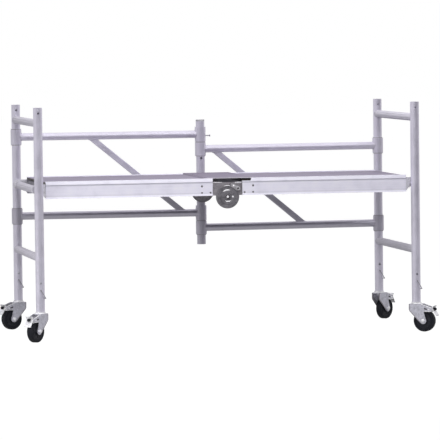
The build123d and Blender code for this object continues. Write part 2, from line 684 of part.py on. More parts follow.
def fork(base):
    """Pressed fork: two legs with brake arms, a crown between them and the swivel race on top."""
    slant = FORK_EYE_R * cos(radians(45))
    eye_edge = (TRAIL - slant, WHEEL_R - slant)
    with BuildPart() as piece:
        with BuildSketch(caster_side(base, FORK_OUTER), caster_side(base, -FORK_INNER)):
            Polygon(
                (-FORK_NOSE, FORK_TOP),
                (CROWN_TAIL, FORK_TOP),
                (FORK_ARM, ARM_TOP),
                (FORK_ARM, ARM_TOP - ARM_H),
                FORK_HEEL,
                (TRAIL + FORK_EYE_R, WHEEL_R),
                eye_edge,
                (-FORK_NOSE, FORK_TOP - FORK_NOSE_H),
                align=None,
            )
            with Locations((TRAIL, WHEEL_R)):
                Circle(FORK_EYE_R)
                Circle(AXLE_D / 2 + RUN_FIT, mode=Mode.SUBTRACT)
            with Locations(PEDAL_PIVOT):
                Circle(PEDAL_PIN_D / 2 + RUN_FIT, mode=Mode.SUBTRACT)
        extrude(amount=FORK_PLATE)
        crown_middle = (CROWN_TAIL - FORK_NOSE) / 2
        crown_origin = base.from_local_coords((crown_middle, 0, FORK_TOP - CROWN))
        with BuildSketch(Plane(origin=crown_origin, x_dir=base.x_dir, z_dir=(0, 0, 1))):
            Rectangle(CROWN_TAIL + FORK_NOSE, 2 * FORK_OUTER)
        extrude(amount=CROWN)
        race = Plane(origin=base.from_local_coords((0, 0, FORK_TOP)))
        bar(race, RACE_D / 2, RACE_TOP - FORK_TOP)
        king = Plane(origin=base.from_local_coords((0, 0, FORK_TOP - CROWN)))
        bar(king, KING_PIN_D / 2 + RUN_FIT, RACE_TOP - FORK_TOP + CROWN, Mode.SUBTRACT)
    return piece


def axle(base):
    """Axle bolt with its hexagonal head and nut outside the fork legs."""
    ends = [caster_side(base, across, TRAIL, WHEEL_R) for across in (FORK_OUTER + AXLE_HEAD, -FORK_OUTER)]
    with BuildPart() as bolt:
        bar(caster_side(base, FORK_OUTER, TRAIL, WHEEL_R), AXLE_D / 2, 2 * FORK_OUTER)
        with BuildSketch(*ends):
            RegularPolygon(AXLE_HEAD_D / 2, 6)
        extrude(amount=AXLE_HEAD)
    return bolt


def wheel_section(base):
    """Plane through the axle for wheel sections: sketch x is the radius, sketch y runs along the axle."""
    return Plane(origin=base.from_local_coords((TRAIL, 0, WHEEL_R)), x_dir=base.x_dir, z_dir=(0, 0, 1))


def wheel_axis(base):
    """Axis on which a wheel turns."""
    return Axis(base.from_local_coords((TRAIL, 0, WHEEL_R)), base.y_dir)


def tyre(base):
    """Solid rubber tyre with bevelled tread edges."""
    inner = WHEEL_R - TYRE
    with BuildPart() as ring_part:
        with BuildSketch(wheel_section(base)) as section:
            with Locations((inner + TYRE / 2, 0)):
                Rectangle(TYRE, WHEEL_W)
            chamfer(section.vertices().group_by(Axis.X)[-1], TREAD_EDGE)
        revolve(axis=wheel_axis(base))
    return ring_part


def hub(base):
    """Moulded wheel hub: a disc under the tyre with a boss that runs on the axle."""
    rim_r = WHEEL_R - TYRE - WELD_GAP
    bore_r = AXLE_D / 2 + RUN_FIT
    boss = 2 * (FORK_INNER - LOOSE)
    with BuildPart() as core:
        with BuildSketch(wheel_section(base)):
            with Locations(((bore_r + rim_r) / 2, 0)):
                Rectangle(rim_r - bore_r, HUB_W)
            with Locations(((bore_r + HUB_BOSS_D / 2) / 2, 0)):
                Rectangle(HUB_BOSS_D / 2 - bore_r, boss)
        revolve(axis=wheel_axis(base))
    return core


def pedal(base):
    """Brake pedal between the fork arms: pivot, toe plate, release tab and the shoe above the tyre."""
    x, z = PEDAL_PIVOT
    half = FORK_INNER - PEDAL_SIDE_GAP
    shoe_x = x + SHOE_AT
    shoe_low = WHEEL_R + (WHEEL_R**2 - (shoe_x - TRAIL) ** 2) ** 0.5 + SHOE_GAP
    with BuildPart() as lever:
        with BuildSketch(caster_side(base, half)):
            with Locations(PEDAL_PIVOT):
                Circle(PEDAL_BOSS_D / 2)
            Polygon(
                (x, z + PEDAL_PLATE),
                (shoe_x + SHOE_W, z + PEDAL_PLATE),
                (x + PEDAL_REACH, z - PEDAL_DROP + PEDAL_PLATE),
                (x + PEDAL_REACH, z - PEDAL_DROP),
                (shoe_x + SHOE_W, z - PEDAL_PLATE / 2),
                (shoe_x + SHOE_W / 2, shoe_low),
                (shoe_x - SHOE_W / 2, shoe_low + PEDAL_PLATE / 2),
                (x, z - PEDAL_PLATE),
                align=None,
            )
            Polygon(
                (shoe_x + SHOE_W, z),
                (shoe_x + 2 * SHOE_W, z + PEDAL_TAB),
                (shoe_x + 2 * SHOE_W - PEDAL_PLATE, z + PEDAL_TAB),
                (shoe_x + SHOE_W - 2 * PEDAL_PLATE, z),
                align=None,
            )
        extrude(amount=2 * half)
        bar(caster_side(base, FORK_OUTER, x, z), PEDAL_PIN_D / 2, 2 * FORK_OUTER)
    return lever


for corner, (corner_x, corner_y, _) in CORNERS.items():
    save(post(corner_x, corner_y), f"{corner}_post")
    save(bail(corner_x, corner_y), f"{corner}_bail")
    caster = caster_plane(corner)
    save(fork(caster), f"{corner}_fork")
    save(axle(caster), f"{corner}_axle")
    save(tyre(caster), f"{corner}_tyre")
    save(hub(caster), f"{corner}_hub")
    save(pedal(caster), f"{corner}_pedal")

for half, sign in SIDES.items():
    save(rungs(sign * POST_X), f"{half}_rungs")
    save(caster_stems(sign * POST_X), f"{half}_caster_stems")
    save(gate_rails(half), f"{half}_gate_rails")
    save(diagonal(half), f"{half}_diagonal")
    save(gate_sleeves(half), f"{half}_gate_sleeves")
    save(gate_bushes(half), f"{half}_gate_bushes")
    for face_name, face_sign in FACES.items():
        save(side_rail(sign, face_sign), f"{half}_{face_name}_side_rail")
    save(deck_panel(sign), f"{half}_deck_panel")
    save(deck_beams(sign), f"{half}_deck_beams")
    save(claws(sign), f"{half}_claws")
    save(hinge_plates(sign), f"{half}_hinge_plates")

save(centre_post(), "centre_post")
save(centre_cap(), "centre_cap")
save(lock_pin(), "gate_lock_pin")
save(hinge_discs(), "hinge_discs")
save(cover_flap(), "cover_flap")
for face_name, face_sign in FACES.items():
    save(lock_lever(face_sign), f"{face_name}_lock_lever")
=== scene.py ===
import json
from math import cos, pi, radians, sin, sqrt

import bmesh
import bpy
from mathutils import Matrix, Vector

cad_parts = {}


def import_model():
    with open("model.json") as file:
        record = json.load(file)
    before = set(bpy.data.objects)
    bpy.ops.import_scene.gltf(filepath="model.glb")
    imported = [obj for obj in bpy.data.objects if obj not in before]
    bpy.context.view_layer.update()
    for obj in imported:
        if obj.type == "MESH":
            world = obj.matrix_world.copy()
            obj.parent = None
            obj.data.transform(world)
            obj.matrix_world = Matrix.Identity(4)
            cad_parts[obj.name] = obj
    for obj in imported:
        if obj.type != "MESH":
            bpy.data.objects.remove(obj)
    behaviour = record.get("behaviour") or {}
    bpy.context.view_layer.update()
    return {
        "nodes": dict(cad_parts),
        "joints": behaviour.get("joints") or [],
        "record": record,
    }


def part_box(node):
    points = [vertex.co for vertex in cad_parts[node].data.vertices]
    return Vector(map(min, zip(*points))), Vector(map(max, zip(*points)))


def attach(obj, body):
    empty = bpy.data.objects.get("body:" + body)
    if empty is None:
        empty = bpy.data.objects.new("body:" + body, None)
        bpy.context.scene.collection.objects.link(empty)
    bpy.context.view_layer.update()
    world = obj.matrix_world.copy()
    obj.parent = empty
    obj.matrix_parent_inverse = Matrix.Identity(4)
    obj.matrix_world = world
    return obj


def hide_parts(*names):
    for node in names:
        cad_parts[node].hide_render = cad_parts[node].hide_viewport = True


# Folding work platform: the finish of every piece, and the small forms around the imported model, such as
# welds, rivets, the hinge's pressed rings and springs, the casters' edges, the tyres and the bail wires.
# Metres, +X along the deck, +Y to the gate at the back, +Z up.

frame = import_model()
nodes = frame["nodes"]
joints = {joint["name"]: joint for joint in frame["joints"]}
MM = 0.001
X_WAY = Vector((1, 0, 0))
Y_WAY = Vector((0, 1, 0))
UP = Vector((0, 0, 1))
CORNERS = ("left_rear", "left_front", "right_rear", "right_front")
SIDES = {"left": -1, "right": 1}
FACES = {"front": -1, "rear": 1}

# Camera, fitted to the four posts of the photograph
CAMERA_PLACE = (-3.1223, -16.7231, 1.3948)
CAMERA_YAW = 0.186192  # radians to the right of +Y
CAMERA_PITCH = -0.0521955
CAMERA_ROLL = -0.0124642
CAMERA_LENS = 303.8  # mm
CAMERA_SENSOR = 36.0  # mm wide
CAMERA_FAR = 200.0  # end of what it shows

# Floor and room
WHITE = (1, 1, 1, 1)
FLOOR_REACH = 40.0
FLOOR_TONE = (0.2, 0.2, 0.205, 1)
FLOOR_GLOW = 0.93  # as the camera sees it
FLOOR_DIM_Y = -2.0  # from here to the back, reflections of the floor grow brighter
FLOOR_FADE = 0.7  # share of that growth to a metre
FLOOR_MIRRORED = (0.15, 0.45)  # share of the glow in reflections, dimmest and brightest
ROOM_AMBIENT = 0.36
ROOM_LIT = (0.98, 0.97, 1.0)
ROOM_DARK = (0.22, 0.21, 0.26)
DARK_WAY = (0.33, -0.94, 0.0)  # to the unlit side of the room
DARK_EDGE = (0.42, 0.58)  # cosines from that way: light up to the first, dark from the second
DARK_FLATTEN = (1.0, 1.0, 5.0)  # keeps the unlit side low

# Posts, rungs and gate, as the model has them
POST_R = 20 * MM
RUNG_R = 17.5 * MM
RAIL_R = 17.5 * MM
SLEEVE_R = 25 * MM
BRACE_W = 27 * MM
BRACE_THICK = 12 * MM
BRACE_ROUND = 3 * MM
BRACE_START = {"left": 339 * MM, "right": 58 * MM}  # upper end along each leaf
BRACE_RUN = 444 * MM
TOP_HOLE_DROP = 25 * MM  # cross holes below the tops of the posts

# Welds, and the dark discs in the posts behind their top holes, painted shade that makes the holes look dark
BEAD_R = 2.1 * MM
BEAD_RIPPLES = ((0.16, 2.4), (0.08, 0.7))  # share of the radius, and radians from point to point
BEAD_POINTS = 44
HOLE_SHADE_R = 6.5 * MM
HOLE_SHADE_THICK = 0.8 * MM
HOLE_SHADE_Y = 15.8 * MM  # behind the post's axis

# Rivets: radius and rise of their domes
RIVET = (5 * MM, 2.2 * MM)
FLAP_RIVET = (4 * MM, 1 * MM)
PIVOT_RIVET = (5.5 * MM, 2.2 * MM)
SMALL_RIVET = (4.5 * MM, 2.4 * MM)
LEVER_CAP = (5.5 * MM, 2 * MM)
AXLE_CAP = (8 * MM, 2.8 * MM)
RIVET_SINK = 0.4 * MM  # foot of the dome, inside what carries it
DOME_STEPS = 5

# Deck: side rails, turned edges of the hinge plates, cover flap
WEB_SETBACK = 1.5 * MM  # side rail's web behind its lips
RAIL_LIP = 20.5 * MM  # lip of a side rail under the flap
HINGE_RIVETS = ((49 * MM, 43 * MM), (49 * MM, 13 * MM), (10 * MM, 13 * MM))  # from the rail's end and bottom
PLATE_EDGES = {"left": (-66 * MM, -24 * MM), "right": (36 * MM, 66 * MM)}  # x of both ends
PLATE_FACES = {"left": 307 * MM, "right": 300.8 * MM}  # from the deck's middle line
PLATE_EDGE_R = 1.6 * MM
HIGHLIGHT_HEIGHTS = (-5 * MM, 1 * MM)  # bright face of the right plates, a painted highlight, from their tops
HIGHLIGHT_OUT = 1.35 * MM  # its middle, from the turned edge's axis
HIGHLIGHT_THICK = 0.6 * MM
FLAP_RIVETS = 5
FLAP_RIVET_IN = 13 * MM  # from the flap's edge
# Sloping edge from the flap down to the panel
FLAP_LIP = ((-4.2 * MM, -2.9 * MM), (0.5 * MM, -2.9 * MM), (0.5 * MM, 1.3 * MM), (0, 1.3 * MM))

# Lock discs: radius and rise above the disc's plate, then the painted highlights
HINGE_HEAD = 3.5 * MM  # pivot's head above the plate
RING_RISE = 2.7 * MM
RING_FOOT = -0.3 * MM
PRESSED_RING = ((16 * MM, RING_FOOT), (17.5 * MM, RING_RISE), (34.5 * MM, RING_RISE), (36 * MM, RING_FOOT))
WASHER = ((6 * MM, -0.3 * MM), (6 * MM, 0.4 * MM), (10.5 * MM, 0.4 * MM), (10.5 * MM, -0.3 * MM))
DISC_RIVET_X = 23 * MM  # from the pivot
RIM_ARC = (50.2 * MM, 74, 112)  # painted highlight along the rim: radius, start and end in degrees
RIM_POINTS = 16
RIM_BLUNT = 0.7  # how far in, in steps, its thin ends are cut off
RIM_CREST_R = 2 * MM
RIM_LIFT = 0.4 * MM
HIGHLIGHT_PATCHES = ((31.4 * MM, 6 * MM, 64, 140), (20.6 * MM, 6 * MM, 230, 318))  # radius, width, start and end
PATCH_STEPS = 14
PATCH_RISE = 0.25 * MM  # above the pressed ring
PATCH_THICK = 0.3 * MM

# Lock levers
LEVER_TIP = Vector((-19.6 * MM, 0, 11.7 * MM))  # tooth pin, from the lever's pivot
COIL_R = 6.2 * MM
COIL_START = 0.9 * MM  # first point above the lever
COIL_POINTS = 22
COIL_STEP = 0.6  # radians from point to point
COIL_RISE = 0.2 * MM
COIL_WIRE_R = 0.8 * MM

# Wheels
WHEEL_R = 50 * MM
WHEEL_W = 30 * MM
TYRE_INNER_R = 35 * MM
TYRE_SHOULDER = 6 * MM
# Side wall with its groove: out from the inner radius, and in from the wheel's side
TYRE_WALL = ((0, 2.5 * MM), (4 * MM, 1.2 * MM), (5 * MM, 2 * MM), (6 * MM, 0.4 * MM))
MOULD_LINE = (0.7 * MM, 0.4 * MM)  # half widths at the tread and at the line's floor
MOULD_LINE_DEPTH = 0.5 * MM
HUB_HALF = 11 * MM
HUB_RINGS = ((29.5 * MM, 34.5 * MM), (14.2 * MM, 18.5 * MM))
HUB_RING_RISE = 2.2 * MM
HUB_RING_SLOPE = 0.8 * MM
HUB_RIBS = 8
RIB_SPAN = (16 * MM, 31 * MM)
RIB_HALF = 1.2 * MM
RIB_RISE = 1.6 * MM
AXLE_END = 27 * MM  # axle's ends from the wheel's middle

# Fork, race and pedal: points lie along the trail from the swivel axis, and above the floor
FORK_OUTER = 22 * MM
FORK_PLATE = 3 * MM
FORK_TOP = 126 * MM
# Rolled edges of the fork's plates, in a darker steel than the fork as painted shade
FORK_EDGE = ((-26.5 * MM, 125 * MM), (-26.5 * MM, 99 * MM), (-24 * MM, 94 * MM), (29.4 * MM, 39.8 * MM))
FORK_EDGE_R = 2.6 * MM
# Bright tubes along the arms' edges, painted highlight
ARM_HIGHLIGHTS = (((30 * MM, 125.4 * MM), (79 * MM, 108.8 * MM)), ((43 * MM, 92.5 * MM), (79 * MM, 92.5 * MM)))
ARM_HIGHLIGHT_R = 2 * MM
# Dark face on each arm, painted shade
ARM_SHADE = ((45 * MM, 102 * MM), (60 * MM, 99.5 * MM), (60 * MM, 105 * MM), (45 * MM, 108.5 * MM))
ARM_SHADE_RISE = 0.4 * MM  # dark face above the fork's plate, painted shade
ARM_SHADE_THICK = 0.7 * MM
RACE_R = 22 * MM
RACE_TOP = 131 * MM
COVER_GAP = 0.1 * MM
COVER_W = 4 * MM
COVER_TOP_W = 1.5 * MM
COVER_RIM = 1.5 * MM
COVER_DROP = 0.4 * MM  # below the race's top
PEDAL_GRIP = (91 * MM, 103 * MM)
GRIP_R = 6.5 * MM
GRIP_HALF = 7 * MM
GRIP_BEVEL = 1.5 * MM
PEDAL_RIDGES = ((92.4 * MM, 92.7 * MM), (96.0 * MM, 86.7 * MM), (99.6 * MM, 80.7 * MM))
RIDGE_HALF = 17 * MM
RIDGE_R = 1.1 * MM

# Bails
BAIL_WIRE_R = 2 * MM
BAIL_HALF = 26 * MM  # wire legs from the post's axis
BAIL_HANG = Vector((22.3 * MM, 0, -37 * MM))  # from the pin to the bow
BAIL_BEND = 8 * MM
BAIL_PIN_R = 3.5 * MM
BAIL_PIN_OVER = 3 * MM  # pin's ends past the wire legs
PIN_CROWN = 1 * MM
PIN_BEVEL = 0.6 * MM


def joint_place(name):
    """Where a joint's axis passes, in the shared frame."""
    return Vector(joints[name]["pos_m"])


def node_middle(name):
    """Middle of a node's box."""
    low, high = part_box(name)
    return (low + high) / 2


def outer_y(name, face):
    """Where a node ends towards the front or the rear."""
    low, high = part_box(name)
    return low.y if face < 0 else high.y


def put(name, data):
    """New object in the scene."""
    made = bpy.data.objects.new(name, data)
    bpy.context.scene.collection.objects.link(made)
    return made


# Geometry


class Form:
    """Collects the faces of one piece before it becomes an object."""

    TINY = 1e-7  # a smaller ring is one point

    def __init__(self):
        self.bm = bmesh.new()

    def ring(self, centre, u, v, radius, steps):
        """Ring of points, or one point where the radius is nothing."""
        if radius < self.TINY:
            return [self.bm.verts.new(centre)]
        turns = [2 * pi * i / steps for i in range(steps)]
        return [self.bm.verts.new(centre + (u * cos(t) + v * sin(t)) * radius) for t in turns]

    def skin(self, first, second):
        """Faces between two rings."""
        count = max(len(first), len(second))
        if count < 3:
            return
        for i in range(count):
            j = (i + 1) % count
            corners = [first[i % len(first)], first[j % len(first)]]
            corners += [second[j % len(second)], second[i % len(second)]]
            unique = list(dict.fromkeys(corners))
            if len(unique) > 2:
                self.bm.faces.new(unique)

    def lathe(self, profile, base, axis, steps=40, closed=False):
        """Turns a profile of (radius, height) pairs about an axis through base."""
        axis = Vector(axis).normalized()
        u = axis.orthogonal().normalized()
        v = axis.cross(u)
        rings = [self.ring(Vector(base) + axis * h, u, v, r, steps) for r, h in profile]
        for first, second in zip(rings, rings[1:]):
            self.skin(first, second)
        if closed:
            self.skin(rings[-1], rings[0])
        else:
            for end in (rings[0], rings[-1]):
                if len(end) > 2:
                    self.bm.faces.new(end)

    def tube(self, points, radii, sides=8, closed=False):
        """Round tube along points, with one radius or a list of them."""
        count = len(points)
        radii = radii if isinstance(radii, list) else [radii] * count
        spans = [points[(i + 1) % count] - points[i - 1] for i in range(count)]
        if not closed:
            spans[0] = points[1] - points[0]
            spans[-1] = points[-1] - points[-2]
        u = spans[0].orthogonal().normalized()
        rings = []
        for point, span, radius in zip(points, spans, radii):
            along = span.normalized()
            u = (u - along * u.dot(along)).normalized()
            rings.append(self.ring(point, u, along.cross(u), radius, sides))
        for first, second in zip(rings, rings[1:]):
            self.skin(first, second)
        if closed:
            start = rings[0]
            shift = min(range(sides), key=lambda k: (start[k].co - rings[-1][0].co).length)
            self.skin(rings[-1], start[shift:] + start[:shift])
        else:
            for end in (rings[0], rings[-1]):
                self.bm.faces.new(end)

    def prism(self, outline, place, thickness):
        """Plate from an outline in the x and y of a place matrix, thick along its z."""
        rings = []
        for z in (0.0, thickness):
            rings.append([self.bm.verts.new(place @ Vector((x, y, z))) for x, y in outline])
        self.skin(rings[0], rings[1])
        for end in rings:
            self.bm.faces.new(end)

    def piece(self, name, body, material, crease=35):
        """Object that rides on a body, with its finish. Edges over the crease, in degrees, stay hard."""
        bmesh.ops.recalc_face_normals(self.bm, faces=self.bm.faces)
        for face in self.bm.faces:
            face.smooth = True
        mesh = bpy.data.meshes.new(name)
        self.bm.to_mesh(mesh)
        self.bm.free()
        mesh.set_sharp_from_angle(angle=radians(crease))
        mesh.materials.append(material)
        made = put(name, mesh)
        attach(made, body)
        return made


def arc(centre, radius, start, end, count):
    """Points (x, y) on an arc, angles in degrees."""
    angles = [radians(start + (end - start) * i / (count - 1)) for i in range(count)]
    return [(centre[0] + radius * cos(a), centre[1] + radius * sin(a)) for a in angles]


def crescent(radius, width, start, end):
    """Outline of a patch that follows a circle and is pointed at both ends, angles in degrees."""
    shares = [i / PATCH_STEPS for i in range(PATCH_STEPS + 1)]
    turns = [(sin(pi * share) * width / 2, radians(start + (end - start) * share)) for share in shares]
    edges = [(radius + half, a) for half, a in turns]
    edges += [(radius - half, a) for half, a in turns[-2:0:-1]]
    return [(r * cos(a), r * sin(a)) for r, a in edges]


def rounded_box(width, thickness, corner_r):
    """Outline of a rectangle with round corners, and with points along its straight sides."""
    corners = []
    for turn, (x, y) in enumerate(((1, 1), (-1, 1), (-1, -1), (1, -1))):
        centre = (x * (width / 2 - corner_r), y * (thickness / 2 - corner_r))
        corners.append(arc(centre, corner_r, 90 * turn, 90 * turn + 90, 4))
    outline = []
    for corner, following in zip(corners, corners[1:] + corners[:1]):
        (x, y), (next_x, next_y) = corner[-1], following[0]
        outline += corner
        outline += [(x + (next_x - x) * t, y + (next_y - y) * t) for t in (0.25, 0.5, 0.75)]
    return outline


def axes(origin, x, y):
    """Place matrix from an origin and the directions of its x and y."""
    x = Vector(x).normalized()
    y = Vector(y).normalized()
    z = x.cross(y)
    return Matrix.Translation(Vector(origin)) @ Matrix((x, y, z)).transposed().to_4x4()


def rivet(form, place, out, size=RIVET):
    """Domed head on a face that looks along out, with a size of radius and rise."""
    radius, rise = size
    turns = [radians(90 * i / DOME_STEPS) for i in range(DOME_STEPS)]
    dome = [(radius * cos(t), rise * sin(t)) for t in turns]
    form.lathe([(radius, -RIVET_SINK)] + dome + [(0.0, rise)], place, out, steps=20)


# Parts of materials


def add(tree, kind, inputs=None, **settings):
    """Adds a node. An input is a socket to link from or a constant."""
    made = tree.nodes.new(kind)
    for key, value in settings.items():
        setattr(made, key, value)
    for key, value in (inputs or {}).items():
        if isinstance(value, bpy.types.NodeSocket):
            tree.links.new(value, made.inputs[key])
        else:
            made.inputs[key].default_value = value
    return made


def maths(tree, operation, first, second=0.0):
    """Result of a math node."""
    return add(tree, "ShaderNodeMath", {0: first, 1: second}, operation=operation).outputs[0]


def weigh(tree, first, share, second):
    """Sum of two values, the first by its share and the second by the rest."""
    rest = maths(tree, "MULTIPLY", second, 1 - share)
    return maths(tree, "ADD", maths(tree, "MULTIPLY", first, share), rest)


def coordinates(tree, kind):
    """Texture coordinates of one kind."""
    return add(tree, "ShaderNodeTexCoord").outputs[kind]


def component(tree, vector, axis):
    """One component of a vector."""
    return add(tree, "ShaderNodeSeparateXYZ", {0: vector}).outputs[axis]


def spot(tree, scale=(1, 1, 1), turn=0):
    """Place on the part, stretched by a scale per axis and turned about Z, in degrees."""
    inputs = {"Vector": coordinates(tree, "Object"), "Scale": scale, "Rotation": (0, 0, radians(turn))}
    return add(tree, "ShaderNodeMapping", inputs).outputs["Vector"]


def noise(tree, scale, detail, roughness=0.5):
    """Noise stretched by a scale per axis."""
    inputs = {"Vector": spot(tree, scale), "Scale": 1.0, "Detail": detail, "Roughness": roughness}
    return add(tree, "ShaderNodeTexNoise", inputs).outputs["Fac"]


def waves(tree, vector, scale, distortion, **settings):
    """Parallel waves."""
    inputs = {"Vector": vector, "Scale": scale, "Distortion": distortion}
    return add(tree, "ShaderNodeTexWave", inputs, **settings).outputs["Fac"]


def ramp(tree, factor, *stops):
    """Colour by factor, from stops of (position, colour)."""
    made = add(tree, "ShaderNodeValToRGB", {"Fac": factor})
    elements = made.color_ramp.elements
    for element, (position, colour) in ((elements[0], stops[0]), (elements[-1], stops[-1])):
        element.position = position
        element.color = (*colour, 1)
    for position, colour in stops[1:-1]:
        elements.new(position).color = (*colour, 1)
    return made.outputs["Color"]


def grey(level):
    """Colour without hue."""
    return (level, level, level)


def mix(tree, factor, first, second, blend_type="MIX"):
    """Colour from two others."""
    inputs = {0: factor, 6: first, 7: second}
    return add(tree, "ShaderNodeMix", inputs, data_type="RGBA", blend_type=blend_type).outputs[2]


def spread(tree, factor, low, high):
    """Noise, which is mostly between 0.3 and 0.7, brought to a range."""
    inputs = {"Value": factor, "From Min": 0.3, "From Max": 0.7, "To Min": low, "To Max": high}
    return add(tree, "ShaderNodeMapRange", inputs).outputs["Result"]


def shade(colour, amount):
    """Colour made darker or lighter."""
    return tuple(min(1.0, c * amount) for c in colour)


def bump(tree, height, strength, distance):
    """Normal of a surface with that height."""
    inputs = {"Height": height, "Strength": strength, "Distance": distance}
    return add(tree, "ShaderNodeBump", inputs).outputs["Normal"]


def shader(name, metallic, specular=0.5):
    """Material with its constants on the shader's own sockets. Returns it with its tree and shader."""
    material = bpy.data.materials.new(name)
    material.use_nodes = True
    tree = material.node_tree
    surface = tree.nodes["Principled BSDF"]
    surface.inputs["Metallic"].default_value = metallic
    surface.inputs["Specular IOR Level"].default_value = specular
    return material, tree, surface


def wire(tree, surface, **sources):
    """Links sources to the shader's sockets by name."""
    for key, source in sources.items():
        tree.links.new(source, surface.inputs[key.replace("_", " ")])


def flat_faces(tree):
    """One on faces that lie flat, nothing on upright ones."""
    facing = component(tree, coordinates(tree, "Normal"), "Z")
    return maths(tree, "GREATER_THAN", maths(tree, "ABSOLUTE", facing), 0.5)


# Materials


def alloy(
    name, tone, along, metallic=0.75, roughness=0.38, contrast=0.12, specular=0.5, bands=None, bare=None
):
    """Drawn or extruded aluminium: fine lines along an axis, dull patches and small pits.

    Bands are pairs of height and brightness, which paint light and shade by height. Bare is the colour of
    edges that stand upright.
    """
    material, tree, surface = shader(name, metallic, specular)
    lines = noise(tree, scale=[3.0 if axis == along else 700.0 for axis in "xyz"], detail=2.0)
    patches = noise(tree, scale=(17, 17, 17), detail=4.0, roughness=0.6)
    pits = noise(tree, scale=(420, 420, 420), detail=1.0)
    mixed = weigh(tree, lines, 0.45, patches)
    dull, bright = shade(tone, 1 - contrast), shade(tone, 1 + contrast / 2)
    colour = ramp(tree, mixed, (0.32, dull), (0.5, tone), (0.7, bright))
    if bands:
        # Painted light and shade: the colour is darkened or kept bright by height
        height_shading = ramp(tree, component(tree, spot(tree), "Z"), *[(z, grey(level)) for z, level in bands])
        colour = mix(tree, 1.0, colour, height_shading, "MULTIPLY")
    if bare:
        rubbed = ramp(tree, patches, (0.3, shade(bare, 0.8)), (0.7, bare))
        colour = mix(tree, flat_faces(tree), rubbed, colour)
    relief = bump(tree, weigh(tree, lines, 0.7, pits), strength=0.18, distance=0.0004)
    rough = spread(tree, patches, roughness - 0.06, roughness + 0.1)
    wire(tree, surface, Base_Color=colour, Roughness=rough, Normal=relief)
    return material


def plated(name, tone, roughness=0.36, metallic=0.85, cell=130.0):
    """Zinc-plated steel: faint crystals, cloudy tone and fine grain."""
    material, tree, surface = shader(name, metallic)
    cells = add(tree, "ShaderNodeTexVoronoi", {"Vector": spot(tree), "Scale": cell}).outputs["Color"]
    crystal = add(tree, "ShaderNodeSeparateColor", {"Color": cells}).outputs["Red"]
    clouds = noise(tree, scale=(45, 45, 45), detail=4.0, roughness=0.6)
    grain = noise(tree, scale=(900, 900, 900), detail=2.0)
    mixed = weigh(tree, crystal, 0.25, clouds)
    colour = ramp(tree, mixed, (0.25, shade(tone, 0.72)), (0.5, tone), (0.75, shade(tone, 1.22)))
    relief = bump(tree, grain, strength=0.2, distance=0.0003)
    rough = spread(tree, clouds, roughness - 0.08, roughness + 0.14)
    wire(tree, surface, Base_Color=colour, Roughness=rough, Normal=relief)
    return material


def moulded(name, tone, roughness=0.5, dust=0.25, specular=0.5):
    """Moulded plastic or rubber: fine grain and pale dust in patches."""
    material, tree, surface = shader(name, 0.0, specular)
    clouds = noise(tree, scale=(60, 60, 60), detail=4.0, roughness=0.65)
    grain = noise(tree, scale=(1100, 1100, 1100), detail=2.0)
    dusty = tuple(c + dust * (0.3 - c) for c in tone)
    colour = ramp(tree, clouds, (0.38, tone), (0.58, shade(tone, 1.3)), (0.8, dusty))
    relief = bump(tree, grain, strength=0.25, distance=0.0003)
    rough = spread(tree, clouds, roughness - 0.08, roughness + 0.16)
    wire(tree, surface, Base_Color=colour, Roughness=rough, Normal=relief)
    return material


def film_plywood(name, film):
    """Resin-filmed panel: embossed mesh and scuffs on the film, dark sealed layers on the cut edges, kept
    near black also as painted shade in the gap under the flap.
    """
    material, tree, surface = shader(name, 0.0)
    strands = [waves(tree, spot(tree, turn=turn), scale=55.0, distortion=0.3) for turn in (45, -45)]
    relief = bump(tree, maths(tree, "MAXIMUM", *strands), strength=0.25, distance=0.0005)
    scuffs = noise(tree, scale=(9, 26, 20), detail=5.0, roughness=0.65)
    film_colour = ramp(tree, scuffs, (0.3, shade(film, 0.84)), (0.52, film), (0.72, shade(film, 1.14)))
    layers = waves(tree, spot(tree), scale=130.0, distortion=1.2, bands_direction="Z")
    # Sealed edges, near black, also painted shade in the gap under the flap
    wood_colour = ramp(tree, layers, (0.2, (0.012, 0.01, 0.01)), (0.8, (0.05, 0.04, 0.035)))
    colour = mix(tree, flat_faces(tree), wood_colour, film_colour)
    rough = spread(tree, scuffs, 0.46, 0.68)
    wire(tree, surface, Base_Color=colour, Roughness=rough, Normal=relief)
    return material


ALLOY = (0.71, 0.685, 0.785)
FILM = (0.205, 0.178, 0.246)
FLAP = (0.205, 0.176, 0.243)
FLAP_EDGE = (0.6, 0.58, 0.64)
